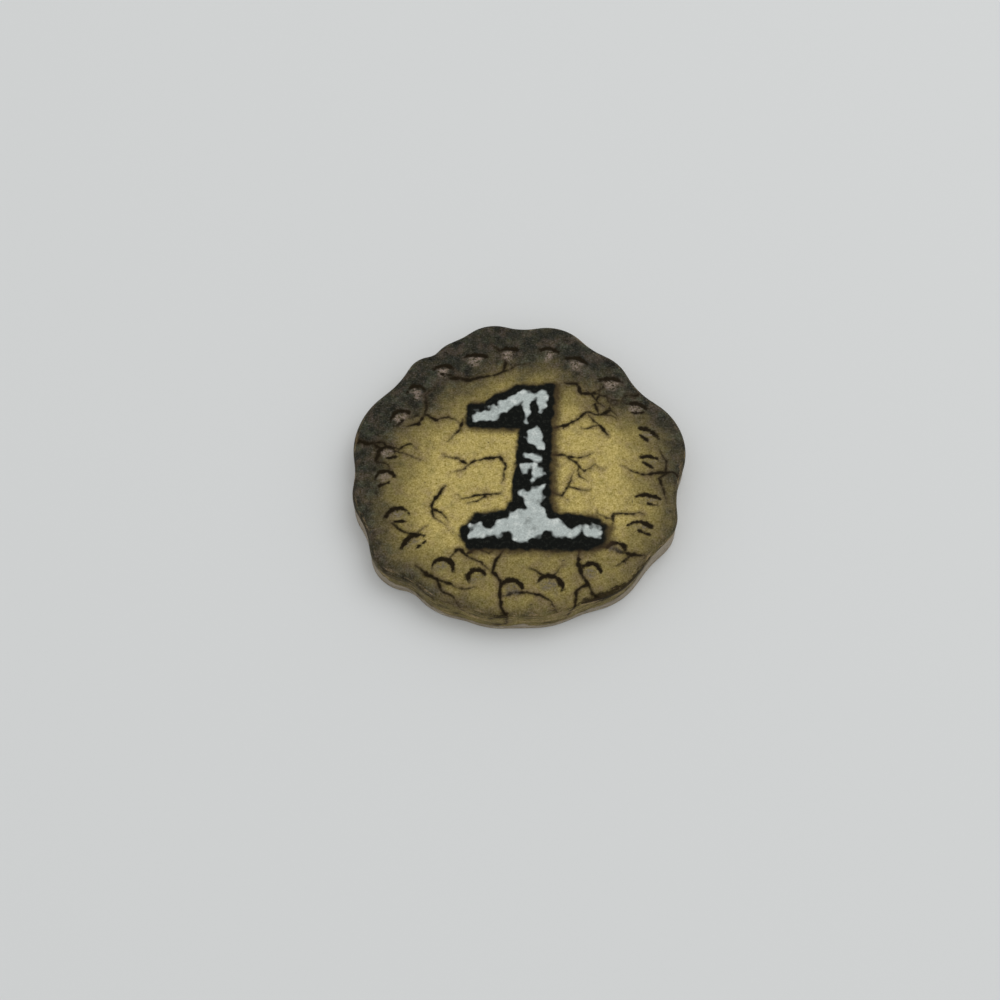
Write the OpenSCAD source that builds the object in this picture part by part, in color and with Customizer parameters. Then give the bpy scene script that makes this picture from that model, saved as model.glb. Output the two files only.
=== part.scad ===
// Die-cut board game token: a greyboard core with a printed sheet pasted on each face.
// The cutting die bends in and out of lobes and valleys, so the outline is a chain of arcs
// that run into each other. It also rolls the front edge and drags the front sheet down the side.
// The underside lies on z = 0, and the middle of the outline's box is on the Z axis.

/* [Outline] */
// Radius of the circle that the lobes stand on
base_r = 11; // [10:0.5:16]
// How far the tallest lobe stands out past that circle
lobe_lift = 2; // [1.6:0.1:2.6]
// Usual radius round the tip of a lobe
nose_r = 5; // [4:0.25:6]
// Usual radius in the floor of a valley
valley_r = 6; // [4:0.25:8]

/* [Layers] */
// Thickness of the greyboard core
core_t = 2; // [1.5:0.1:4]
// Thickness of each printed sheet
paper_t = 0.15; // [0.08:0.01:0.2]
// Thickness of the paste under each sheet
paste_t = 0.05; // [0.02:0.01:0.1]

/* [Rolled front edge] */
// Radius that the die rolls onto the front edge
roll_r = 0.5; // [0.35:0.05:0.8]
// Depth below the front face that the front sheet is dragged down the side
drag_depth = 1.5; // [1:0.1:1.6]

/* [Hidden] */

// One row per lobe, anticlockwise from +X: its direction in degrees, its reach as a share of
// lobe_lift, its tip radius as a share of nose_r, and the radius of the valley after it as a
// share of valley_r.
lobes = [
    [10, 0.70, 1.0, 1.0],
    [52, 0.32, 0.7, 1.0],
    [76, 0.72, 0.7, 0.8],
    [101, 0.76, 0.6, 1.0],
    [115, 0.48, 0.6, 0.2],
    [131, 0.48, 0.4, 1.3],
    [167, 0.70, 1.2, 1.0],
    [195, 0.72, 0.8, 1.0],
    [219, 1.00, 0.6, 0.3],
    [242, 0.70, 1.0, 1.0],
    [259, 0.65, 1.2, 3.0],
    [278, 0.60, 1.2, 1.7],
    [306, 0.65, 1.0, 1.8],
    [334, 0.68, 0.6, 1.3],
];
last = len(lobes) - 1;

// Steps in a full circle along the outline's arcs
turn_steps = 45;
// Steps in the quarter circle of the rolled edge
roll_steps = 4;

// Heights of the layers, from the underside up
core_z = paper_t + paste_t;
front_paste_z = core_z + core_t;
front_paper_z = front_paste_z + paste_t;
top_z = front_paper_z + paper_t;
drag_z = top_z - drag_depth;
// The core is drawn in this far under the front sheet's rim
rim_inset = paper_t + paste_t;

function after(i) = i == last ? 0 : i + 1;
function before(i) = i == 0 ? last : i - 1;
function aim(a) = [cos(a), sin(a)];
function heading(v) = atan2(v.y, v.x);
// Turn from direction a on to direction b, anticlockwise, in degrees
function turn(a, b) = b < a ? b - a + 360 : b - a;
function reverse(list) = [for (k = [len(list) - 1 : -1 : 0]) list[k]];

function tip_r(i) = nose_r * lobes[i][2];
function floor_r(i) = valley_r * lobes[i][3];
function raw_hub(i) = (base_r + lobe_lift * lobes[i][1] - tip_r(i)) * aim(lobes[i][0]);

// Middle of the outline's box: each side of the box touches the tip arc of one lobe
box_max = [for (k = [0, 1]) max([for (i = [0 : last]) raw_hub(i)[k] + tip_r(i)])];
box_min = [for (k = [0, 1]) min([for (i = [0 : last]) raw_hub(i)[k] - tip_r(i)])];
box_mid = (box_max + box_min) / 2;

// Centre of each lobe's tip arc
hubs = [for (i = [0 : last]) raw_hub(i) - box_mid];

// Centre of the valley arc after lobe i: it lies outside the token, where a circle of the
// valley's radius touches the tip arcs of the two lobes beside it
function pit(i) =
    let (
        span = hubs[after(i)] - hubs[i],
        l = norm(span),
        near = tip_r(i) + floor_r(i),
        far = tip_r(after(i)) + floor_r(i),
        along = (l * l + near * near - far * far) / (2 * l),
        out = sqrt(near * near - along * along)
    )
    hubs[i] + (along * span + out * [span.y, -span.x]) / l;
pits = [for (i = [0 : last]) pit(i)];

// Where lobe i's tip arc starts, and how far it turns to the next valley
function tip_start(i) = heading(pits[before(i)] - hubs[i]);
function tip_turn(i) = turn(tip_start(i), heading(pits[i] - hubs[i]));
// The same for the valley arc after lobe i, which runs the other way about its own centre
function floor_start(i) = heading(hubs[i] - pits[i]);
function floor_turn(i) = turn(heading(hubs[after(i)] - pits[i]), floor_start(i));

// Points of an arc from direction start, without its last point, where the next arc begins
function arc(centre, r, start, sweep) =
    let (n = ceil(abs(sweep) * turn_steps / 360))
    [for (k = [0 : n - 1]) centre + r * aim(start + sweep * k / n)];

// The token's outline, moved inwards by inset all round
function outline(inset = 0) = [
    for (i = [0 : last]) each concat(
        arc(hubs[i], tip_r(i) - inset, tip_start(i), tip_turn(i)),
        arc(pits[i], floor_r(i) + inset, floor_start(i), -floor_turn(i))
    )
];

// Quarter circle of the rolled edge as points [inset, z], from the wall up to the flat face:
// edge is the inset of the wall below it and z1 the height of the face above it
function roll(edge, z1) =
    let (r = roll_r - edge)
    [for (k = [0 : roll_steps])
        let (a = 90 * k / roll_steps)
        [edge + r * (1 - cos(a)), z1 - r * (1 - sin(a))]];

// Solid whose surface is a profile carried round the outline. The profile is a list of
// [inset, z] points; flat faces close its first ring, looking down, and its last, looking up.
module carry(profile) {
    rings = [for (p = profile) [for (q = outline(p[0])) [q.x, q.y, p[1]]]];
    n = len(rings[0]);
    top = len(rings) - 1;
    walls = [
        for (k = [0 : top - 1], j = [0 : n - 1])
            let (m = (j + 1) % n)
            [k * n + j, (k + 1) * n + j, (k + 1) * n + m, k * n + m]
    ];
    lower_face = [for (j = [0 : n - 1]) j];
    upper_face = [for (j = [n - 1 : -1 : 0]) top * n + j];
    polyhedron([for (r = rings) each r], concat([lower_face], walls, [upper_face]));
}

// Layer that follows the rolled edge down to the end of the drag: edge is the inset of its
// outer wall, t its thickness and z1 the height of its upper face
module rolled_layer(edge, t, z1) {
    carry(concat(
        reverse(roll(edge + t, z1 - t)),
        [[edge + t, drag_z], [edge, drag_z]],
        roll(edge, z1)
    ));
}

// Flat layer with square edges from z0 up to z1
module flat_layer(z0, z1) {
    translate([0, 0, z0]) linear_extrude(z1 - z0) polygon(outline());
}

// Printed sheet of the front, with its rim dragged down the side
module front_print_sheet() {
    color("goldenrod") rolled_layer(0, paper_t, top_z);
}

// Paste between the front sheet and the core, down to the same edge
module front_paste_film() {
    color("ivory") rolled_layer(paper_t, paste_t, front_paper_z);
}

// Pressed greyboard: full outline below, drawn in under the front sheet's rim
module core_board() {
    color("rosybrown") carry(concat(
        [[0, core_z], [0, drag_z], [rim_inset, drag_z]],
        roll(rim_inset, front_paste_z)
    ));
}

// Paste between the core and the back sheet
module back_paste_film() {
    color("ivory") flat_layer(paper_t, core_z);
}

// Printed sheet of the back, cut square with the core
module back_print_sheet() {
    color("darkgoldenrod") flat_layer(0, paper_t);
}

front_print_sheet();
front_paste_film();
core_board();
back_paste_film();
back_print_sheet();
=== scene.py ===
"""Looks of a die-cut board game token: a greyboard core with a printed sheet on each face.

The front sheet is rolled over the edge and dragged down the side, where it ends in a torn line
with bare board below. Lengths here are in millimetres, and a mesh gets them in metres.
"""

import logging
import math
from dataclasses import dataclass, field
from enum import Enum
from typing import Any

import bpy
import numpy as np
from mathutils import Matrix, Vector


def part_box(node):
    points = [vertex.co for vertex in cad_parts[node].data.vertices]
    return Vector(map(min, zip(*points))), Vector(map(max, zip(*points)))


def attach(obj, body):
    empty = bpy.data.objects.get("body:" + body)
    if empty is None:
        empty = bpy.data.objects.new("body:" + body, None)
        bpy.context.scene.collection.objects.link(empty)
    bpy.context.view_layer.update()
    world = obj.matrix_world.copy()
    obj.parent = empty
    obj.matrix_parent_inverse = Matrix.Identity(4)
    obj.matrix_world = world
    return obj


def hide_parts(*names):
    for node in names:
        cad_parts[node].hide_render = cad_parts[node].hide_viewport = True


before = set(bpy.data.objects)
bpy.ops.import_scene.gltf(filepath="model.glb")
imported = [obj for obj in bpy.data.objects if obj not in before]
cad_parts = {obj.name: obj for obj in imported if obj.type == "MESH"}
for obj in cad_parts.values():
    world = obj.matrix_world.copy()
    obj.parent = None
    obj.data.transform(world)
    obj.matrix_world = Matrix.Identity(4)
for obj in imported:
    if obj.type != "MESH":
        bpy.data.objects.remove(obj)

log = logging.getLogger("token")
Array = np.ndarray
Pair = tuple[float, float]
Triple = tuple[float, float, float]
Colour = tuple[float, float, float, float]
Corners = tuple[Pair, ...]
MM = 0.001
TURN = 2 * math.pi
TINY = 1e-6
BODY = "root"


def srgb(red: int, green: int, blue: int) -> Colour:
    """Turns a screen colour into the linear colour that a shader takes.

    Args:
        red: share of red, from 0 to 255.
        green: share of green.
        blue: share of blue.

    Returns:
        The linear colour, opaque.
    """
    share = np.array([red, green, blue]) / 255
    linear = np.where(share <= 0.04045, share / 12.92, ((share + 0.055) / 1.055) ** 2.4)
    return (*linear.tolist(), 1.0)


def smooth_step(low: float | Array, high: float | Array, value: Array) -> Array:
    """Share from 0 at low to 1 at high, level at both ends: 3t squared less 2t cubed."""
    share = np.clip((value - low) / (high - low), 0, 1)
    return share * share * (3 - 2 * share)


def to_side(u: Array, v: Array, start: Pair | Array, end: Pair | Array) -> tuple[Array, Array]:
    """Distance of each place to a straight side, and the share of the way along it.

    Args:
        u: places across the sheet.
        v: places up the sheet.
        start: one end of the side.
        end: the other end.

    Returns:
        Distances, and shares from 0 at the start to 1 at the end.
    """
    across, up = end[0] - start[0], end[1] - start[1]
    p, q = u - start[0], v - start[1]
    along = np.clip((p * across + q * up) / (across**2 + up**2), 0, 1)
    return np.hypot(p - along * across, q - along * up), along


def to_polygon(corners: Corners, u: Array, v: Array) -> Array:
    """Signed distance to a polygon, below 0 inside.

    The distance is the least distance to its sides. A place is inside if a line from it to the
    right crosses an odd number of sides.

    Args:
        corners: corners of the polygon.
        u: places across the sheet.
        v: places up the sheet.

    Returns:
        One distance for each place.
    """
    near = np.full(u.shape, np.inf)
    inside = np.zeros(u.shape, bool)
    for start, end in zip(corners, corners[1:] + corners[:1]):
        near = np.minimum(near, to_side(u, v, start, end)[0])
        rise = end[1] - start[1] if end[1] != start[1] else 1.0
        crossing = start[0] + (v - start[1]) * (end[0] - start[0]) / rise
        inside ^= ((start[1] > v) != (end[1] > v)) & (u < crossing)
    return np.where(inside, -near, near)


@dataclass(frozen=True)
class Ripple:
    """Seeded wave that closes on itself round the token.

    It is the sum of cosines of whole multiples of the turn, from the lowest to the highest, each
    with a random phase and a height that falls as a power of its multiple, scaled to a spread of 1.
    """

    seed: int
    lowest: int
    highest: int
    fall: float

    def at(self, turn: Array) -> Array:
        """Heights of the wave.

        Args:
            turn: directions in radians.

        Returns:
            One height for each direction.
        """
        chance = np.random.default_rng(self.seed)
        multiple = np.arange(self.lowest, self.highest + 1)[:, None]
        phase = chance.uniform(0, TURN, multiple.shape)
        height = multiple.astype(float) ** -self.fall
        wave = (height * np.cos(multiple * turn.ravel() + phase)).sum(axis=0)
        return (wave / np.sqrt((height**2).sum() / 2)).reshape(turn.shape)


@dataclass(frozen=True)
class Bell:
    """Bell about one direction: its height times e to the minus square of the share of a half width.

    The direction and the half width are in degrees.
    """

    direction: float
    half_width: float
    height: float

    def at(self, heading: Array) -> Array:
        """Height of the bell at each heading in degrees."""
        off = (heading - self.direction + 180) % 360 - 180
        return self.height * np.exp(-((off / self.half_width) ** 2))


@dataclass(frozen=True)
class Layers:
    """Heights of the token's layers above its underside."""

    back_sheet: float
    core_low: float
    drag_end: float
    core_top: float
    paste_top: float
    face: float

    @classmethod
    def from_frame(cls) -> "Layers":
        """Reads the heights from the boxes of the frame's nodes."""
        return cls(
            back_sheet=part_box("back_print_sheet")[1].z / MM,
            core_low=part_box("core_board")[0].z / MM,
            drag_end=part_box("front_print_sheet")[0].z / MM,
            core_top=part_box("core_board")[1].z / MM,
            paste_top=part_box("front_paste_film")[1].z / MM,
            face=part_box("front_print_sheet")[1].z / MM,
        )

    @property
    def paper(self) -> float:
        """Thickness of a printed sheet."""
        return self.face - self.paste_top

    @property
    def paste(self) -> float:
        """Thickness of a paste film."""
        return self.paste_top - self.core_top


@dataclass
class Outline:
    """The token's outline as columns, one for each direction round the Z axis.

    A flat node gives the corners of the outline. A curve through them takes at each corner the
    slope of the parabola through its neighbours, and a cubic runs from corner to corner. It is
    moved in by its bulge past the straight sides, to stay within them.
    """

    columns: int
    roll_radius: float = 0.5
    bulge: float = 0.013
    node: str = "back_print_sheet"
    steps: int = 24
    turn: Array = field(init=False)
    edge: Array = field(init=False)
    normal: Array = field(init=False)

    def __post_init__(self) -> None:
        """Works out where each column meets the edge, and which way is outwards there."""
        path, normal = self._curve(self._corners())
        path = path - self.bulge * normal
        flat = path - self.roll_radius * normal
        heading = np.arctan2(flat[:, 1], flat[:, 0])
        self.turn = np.arange(self.columns) * TURN / self.columns
        self.edge = self._at(self.turn, heading, path)
        self.normal = self._at(self.turn, heading, normal)
        self.normal /= np.linalg.norm(self.normal, axis=1, keepdims=True)

    def _corners(self) -> Array:
        """Reads the outline from the frame.

        Returns:
            Its corners, in order of direction.
        """
        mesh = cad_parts[self.node].data
        points = np.empty(len(mesh.vertices) * 3, np.float32)
        mesh.vertices.foreach_get("co", points)
        flat = np.unique(np.round(points.reshape(-1, 3)[:, :2] / MM, 4), axis=0)
        return flat[np.argsort(np.arctan2(flat[:, 1], flat[:, 0]))]

    def _curve(self, corner: Array) -> tuple[Array, Array]:
        """Smooth closed curve through the corners.

        Args:
            corner: corners in order.

        Returns:
            Points of the curve, and the outward normal at each.
        """
        span = np.roll(corner, -1, axis=0) - corner
        length = np.linalg.norm(span, axis=1, keepdims=True)
        slope = span / length
        before = np.roll(length, 1, axis=0)
        tangent = (length * np.roll(slope, 1, axis=0) + before * slope) / (length + before)
        t = (np.arange(self.steps) / self.steps)[None, :, None]
        start, end = corner[:, None], np.roll(corner, -1, axis=0)[:, None]
        leave = (tangent * length)[:, None]
        arrive = (np.roll(tangent, -1, axis=0) * length)[:, None]
        ease = 3 * t**2 - 2 * t**3
        path = start + (end - start) * ease + leave * (t**3 - 2 * t**2 + t) + arrive * (t**3 - t**2)
        along = (end - start) * (6 * t - 6 * t**2)
        along = along + leave * (3 * t**2 - 4 * t + 1) + arrive * (3 * t**2 - 2 * t)
        along = along.reshape(-1, 2)
        outward = np.stack([along[:, 1], -along[:, 0]], axis=1)
        return path.reshape(-1, 2), outward / np.linalg.norm(outward, axis=1, keepdims=True)

    @staticmethod
    def _at(turn: Array, heading: Array, values: Array) -> Array:
        """Values of the curve where its inner edge has the given directions."""
        return np.stack([np.interp(turn, heading, v, period=TURN) for v in values.T], axis=1)

    def ring(self, inset: float | Array) -> Array:
        """Points of the outline moved inwards by inset, which may differ by column."""
        return self.edge - np.asarray(inset)[..., None] * self.normal

    @property
    def rays(self) -> Array:
        """Unit vectors of the columns' directions."""
        return np.stack([np.cos(self.turn), np.sin(self.turn)], axis=1)


class Cap(Enum):
    """Ways to shut the end of a loft."""

    FAN = "one point in the middle"
    GRID = "a fine grid, for a printed face"


@dataclass
class Loft:
    """Closed surface of rings carried round the outline and shut by a cap at each end.

    Ring i stands inset[i] in from the outline at height z[i], both given for every column. The
    rings run from the upper cap outwards, down the side and in again, so faces look outwards.
    """

    outline: Outline
    inset: Array
    z: Array
    upper: Cap = Cap.FAN
    lower: Cap = Cap.FAN
    sharp_degrees: float = 40.0
    points: Array = field(init=False)
    ring_ids: Array = field(init=False)
    quads: Array = field(init=False)
    triangles: Array = field(init=False)
    quad_ring: Array = field(init=False)
    triangle_ring: Array = field(init=False)

    def __post_init__(self) -> None:
        """Places the points and lists the faces, each with the ring that it starts from."""
        rings, columns = self.inset.shape
        self.points = np.dstack([self.outline.ring(self.inset), self.z]).reshape(-1, 3)
        self.ring_ids = np.arange(rings * columns).reshape(rings, columns)
        ids, after = self.ring_ids, np.roll(self.ring_ids, -1, axis=1)
        self.quads = np.stack([ids[:-1], ids[1:], after[1:], after[:-1]], axis=2).reshape(-1, 4)
        self.quad_ring = np.repeat(np.arange(rings - 1), columns)
        self.triangles = np.empty((0, 3), int)
        self.triangle_ring = np.empty(0, int)
        self._shut(self.upper, 0, -1)
        self._shut(self.lower, rings - 1, rings - 1)

    def _shut(self, cap: Cap, ring: int, label: int) -> None:
        """Shuts one end.

        Args:
            cap: how it is shut.
            ring: the ring that bounds the cap.
            label: ring number that its faces are listed under, below 0 for the upper cap.
        """
        rim = self.ring_ids[ring]
        order = 1 if label < 0 else -1
        if cap is Cap.FAN:
            middle = len(self.points)
            self.points = np.vstack([self.points, [[0, 0, self.points[rim, 2].mean()]]])
            fan = np.stack([np.full_like(rim, middle), rim, np.roll(rim, -1)], axis=1)
            self.triangles = np.vstack([self.triangles, fan[:, ::order]])
            self.triangle_ring = np.append(self.triangle_ring, np.full(len(fan), label))
            return
        ids = self._grid(rim)
        cells = np.stack([ids[:-1, :-1], ids[1:, :-1], ids[1:, 1:], ids[:-1, 1:]], axis=2)
        cells = cells.reshape(-1, 4)[:, ::order]
        self.quads = np.vstack([self.quads, cells])
        self.quad_ring = np.append(self.quad_ring, np.full(len(cells), label))

    def _grid(self, rim: Array) -> Array:
        """Fills a ring with a square grid that is pressed to the ring's shape.

        A point at (a, b) in a square of half side 1 goes out by the larger of |a| and |b|, in a
        direction that turns evenly along the square's sides: an eighth of a turn for a quotient
        of 1. The ring's own point in that direction, times the share, is the grid's point.

        Args:
            rim: numbers of the ring's points.

        Returns:
            Numbers of the grid's points, the rim's own among them.
        """
        columns = self.outline.columns
        across = np.linspace(-1, 1, columns // 4 + 1)
        a, b = np.meshgrid(across, across, indexing="ij")
        wide = np.abs(a) >= np.abs(b)
        share = np.where(wide, a, b)
        quotient = np.divide(np.where(wide, b, a), share, out=np.zeros_like(a), where=share != 0)
        eighth = quotient * TURN / 8
        heading = np.where(wide, eighth, TURN / 4 - eighth) + np.where(share < 0, TURN / 2, 0)
        share = np.abs(share)
        ring = self.points[rim]
        spots = [np.interp(heading, self.outline.turn, v, period=TURN) for v in ring.T]
        inside = (np.abs(a) < 1) & (np.abs(b) < 1)
        ids = rim[np.rint(heading / TURN * columns).astype(int) % columns]
        ids[inside] = len(self.points) + np.arange(inside.sum())
        middle = ring[:, 2].mean()
        height = middle + (spots[2] - middle) * share
        filled = np.stack([spots[0] * share, spots[1] * share, height], axis=2)
        self.points = np.vstack([self.points, filled[inside]])
        return ids

    def corner_ids(self) -> Array:
        """Point number at each face corner, quads first."""
        return np.append(self.quads.ravel(), self.triangles.ravel())

    def corner_rings(self) -> Array:
        """Ring that each face corner's face starts from, quads first."""
        return np.append(np.repeat(self.quad_ring, 4), np.repeat(self.triangle_ring, 3))

    def mesh_object(self, name: str) -> bpy.types.Object:
        """Makes the mesh, smooth but for edges past the sharp angle.

        Args:
            name: name of the piece.

        Returns:
            The piece, at the origin.
        """
        mesh = bpy.data.meshes.new(name)
        faces = self.quads.tolist() + self.triangles.tolist()
        mesh.from_pydata((self.points * MM).tolist(), [], faces)
        mesh.polygons.foreach_set("use_smooth", np.ones(len(faces), bool))
        mesh.set_sharp_from_angle(angle=math.radians(self.sharp_degrees))
        piece = bpy.data.objects.new(name, mesh)
        bpy.context.scene.collection.objects.link(piece)
        return piece


@dataclass(frozen=True)
class Numeral:
    """The slab numeral one: a black body that leans a little, with a pale fill broken by shards."""

    body: Corners = (
        (-3.6, 3.3), (-3.6, 4.7), (-2.5, 4.75), (-1.6, 5.55), (0.2, 6.3), (2.35, 6.4),
        (2.05, 2.4), (1.85, -3.4), (2.15, -4.5), (4.9, -4.75), (5.85, -5.4), (5.75, -6.35),
        (4.8, -6.85), (-3.6, -6.75), (-3.9, -6.1), (-3.8, -5.35), (-2.9, -4.55),
        (-1.0, -4.3), (-0.3, -3.4), (0.35, 3.1),
    )
    shards: tuple[Corners, ...] = (
        ((-2.5, 2.6), (-1.5, 3.95), (0.25, 5.25), (0.5, 3.9), (-0.2, 2.2)),
        ((0.4, 2.75), (0.95, 5.2), (1.25, 5.35), (1.5, 4.3), (2.6, 5.5), (2.6, 2.2), (1.3, 2.9)),
        ((-0.5, 2.5), (1.5, 1.1), (2.4, 1.4), (2.4, 0.2), (1.1, 0.75), (-0.5, 0.6)),
        ((-0.5, 0.05), (1.0, -0.2), (2.4, -0.75), (2.4, -0.25), (1.2, 0.15), (-0.5, 0.45)),
        ((0.75, -0.2), (1.1, -0.3), (0.85, -1.5), (0.4, -1.5)),
        (
            (-0.7, -1.35), (0.5, -0.95), (0.85, -1.6), (2.2, -0.75), (2.2, -1.9), (0.7, -2.35),
            (-0.7, -2.2),
        ),
        ((-0.8, -3.0), (0.5, -2.75), (0.35, -3.75), (-0.9, -4.4)),
        ((-4.2, -4.4), (-0.9, -4.0), (-1.6, -5.0), (-2.1, -5.75), (-2.75, -5.1), (-3.6, -5.5)),
        ((2.2, -4.2), (3.0, -5.0), (3.7, -5.55), (4.3, -5.15), (5.0, -5.45), (5.9, -4.6)),
        ((3.7, -6.4), (4.4, -5.75), (5.2, -6.4)),
        (
            (0.2, -7.4), (0.6, -6.4), (1.3, -6.15), (1.9, -5.75), (2.5, -6.1), (3.9, -6.15),
            (6.2, -6.25), (6.2, -7.4),
        ),
        (
            (-4.3, -7.4), (-4.3, -6.2), (-3.2, -6.3), (-2.5, -6.0), (-1.7, -6.2), (-0.9, -5.75),
            (-0.2, -6.4), (0.2, -7.4),
        ),
        ((-2.8, 5.7), (-2.2, 4.5), (-1.9, 4.8), (-1.6, 4.65), (-1.2, 5.9)),
    )
    rounding: float = 0.35
    cast: Pair = (0.28, -0.12)

    def distance(self, u: Array, v: Array) -> Array:
        """Signed distance to the rounded body."""
        return to_polygon(self.body, u, v) - self.rounding

    def halo(self, u: Array, v: Array) -> Array:
        """Distance to the body moved down and to the right, for the dark bloom beside it."""
        return self.distance(u - self.cast[0], v - self.cast[1])

    def broken(self, u: Array, v: Array) -> Array:
        """Signed distance to the nearest shard."""
        return np.min([to_polygon(shard, u, v) for shard in self.shards], axis=0)


@dataclass(frozen=True)
class MarkRing:
    """Border of small marks: arches at the bottom, flatter strokes elsewhere, over pale hollows.

    Angles are in radians. The shares, the lean, the offset and the slope are the ends of a range
    that a mark's own value is drawn from. A chance, a gap and a depth are the weights of a sum.
    """

    count: int = 23
    radius: float = 9.85
    scatter: float = 0.22
    sway: float = 0.14
    span: float = 1.6
    span_shares: Pair = (0.8, 1.15)
    low_rise: float = 0.95
    left_rise: float = 0.6
    high_rise: float = 0.22
    rise_shares: Pair = (0.75, 1.2)
    side_tilt: float = -0.4
    tilt_scatter: float = 0.3
    stroke: float = 0.17
    low_stroke: float = 0.03
    stroke_lean: Pair = (-0.5, 0.5)
    stroke_peak: float = 1.1
    stroke_fall: float = 0.5
    stroke_least: float = 0.25
    dash: float = 0.11
    dash_half: float = 0.35
    dash_drop: float = 0.5
    dash_offset: Pair = (-0.2, 0.4)
    dash_slope: Pair = (-0.4, 0.3)
    dash_chance: Pair = (-0.3, 1.3)
    hollow_gap: Pair = (0.12, 0.08)
    hollow_half: float = 0.34
    hollow_flare: float = 0.3
    hollow_depth: Triple = (0.1, 0.3, 0.5)
    far: float = 3.0
    seed: int = 31

    def fields(self, u: Array, v: Array) -> tuple[Array, Array]:
        """Signed distances to the strokes and to the hollows.

        An arch of a given span and rise is part of a circle whose radius is (a quarter of the
        span squared plus the rise squared) over twice the rise. The stroke thins to its ends. A
        shorter dash lies below most of the marks at the sides.

        Args:
            u: places across the sheet.
            v: places up the sheet.

        Returns:
            Distance to the nearest stroke and to the nearest hollow, below 0 inside.
        """
        chance = np.random.default_rng(self.seed)
        ends = np.transpose([self.stroke_lean, self.dash_offset, self.dash_slope, (0, 1)])
        stroke = np.full(u.shape, self.far)
        hollow = np.full(u.shape, self.far)
        for number in range(self.count):
            turn = (number + chance.uniform(-self.sway, self.sway)) * TURN / self.count
            reach = self.radius + chance.uniform(-1, 1) * self.scatter
            right, high = math.cos(turn), math.sin(turn)
            low = max(0.0, -high) ** 1.5
            rise = max(self.low_rise * low, -self.left_rise * right, self.high_rise)
            rise *= chance.uniform(*self.rise_shares)
            span = self.span * chance.uniform(*self.span_shares)
            tilt = self.side_tilt * right + chance.uniform(-self.tilt_scatter, self.tilt_scatter)
            lean, offset, slope, luck = chance.uniform(*ends)
            across = u - reach * right
            up = v - reach * high + rise / 2
            near = np.hypot(across, up) < self.far
            across, up = across[near], up[near]
            x = across * math.cos(tilt) + up * math.sin(tilt)
            y = up * math.cos(tilt) - across * math.sin(tilt)
            bend = (span**2 / 4 + rise**2) / (2 * rise)
            out = np.hypot(x, y + bend - rise) - bend
            share = np.arctan2(x, y + bend - rise) / math.asin(min(1, span / 2 / bend))
            past = np.maximum(np.abs(share) - 1, 0) * span / 2
            thinned = self.stroke_peak - self.stroke_fall * (share - lean) ** 2
            thinned = np.clip(thinned, self.stroke_least, 1)
            line = np.hypot(out, past) - (self.stroke + self.low_stroke * low) * thinned
            if luck < self.dash_chance[0] + self.dash_chance[1] * abs(right):
                beside = np.maximum(np.abs(x - offset) - self.dash_half, 0)
                below = y - slope * (x - offset) + self.dash_drop
                line = np.minimum(line, np.hypot(beside, below) - self.dash)
            stroke[near] = np.minimum(stroke[near], line)
            depth = np.dot(self.hollow_depth, (1, 1 - low, max(0.0, high)))
            beside = np.abs(x) - self.hollow_half * span - self.hollow_flare * y
            under = out + np.dot(self.hollow_gap, (1, low))
            pit = np.maximum(under, np.maximum(beside, -depth - y))
            hollow[near] = np.minimum(hollow[near], pit)
        return stroke, hollow


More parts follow.
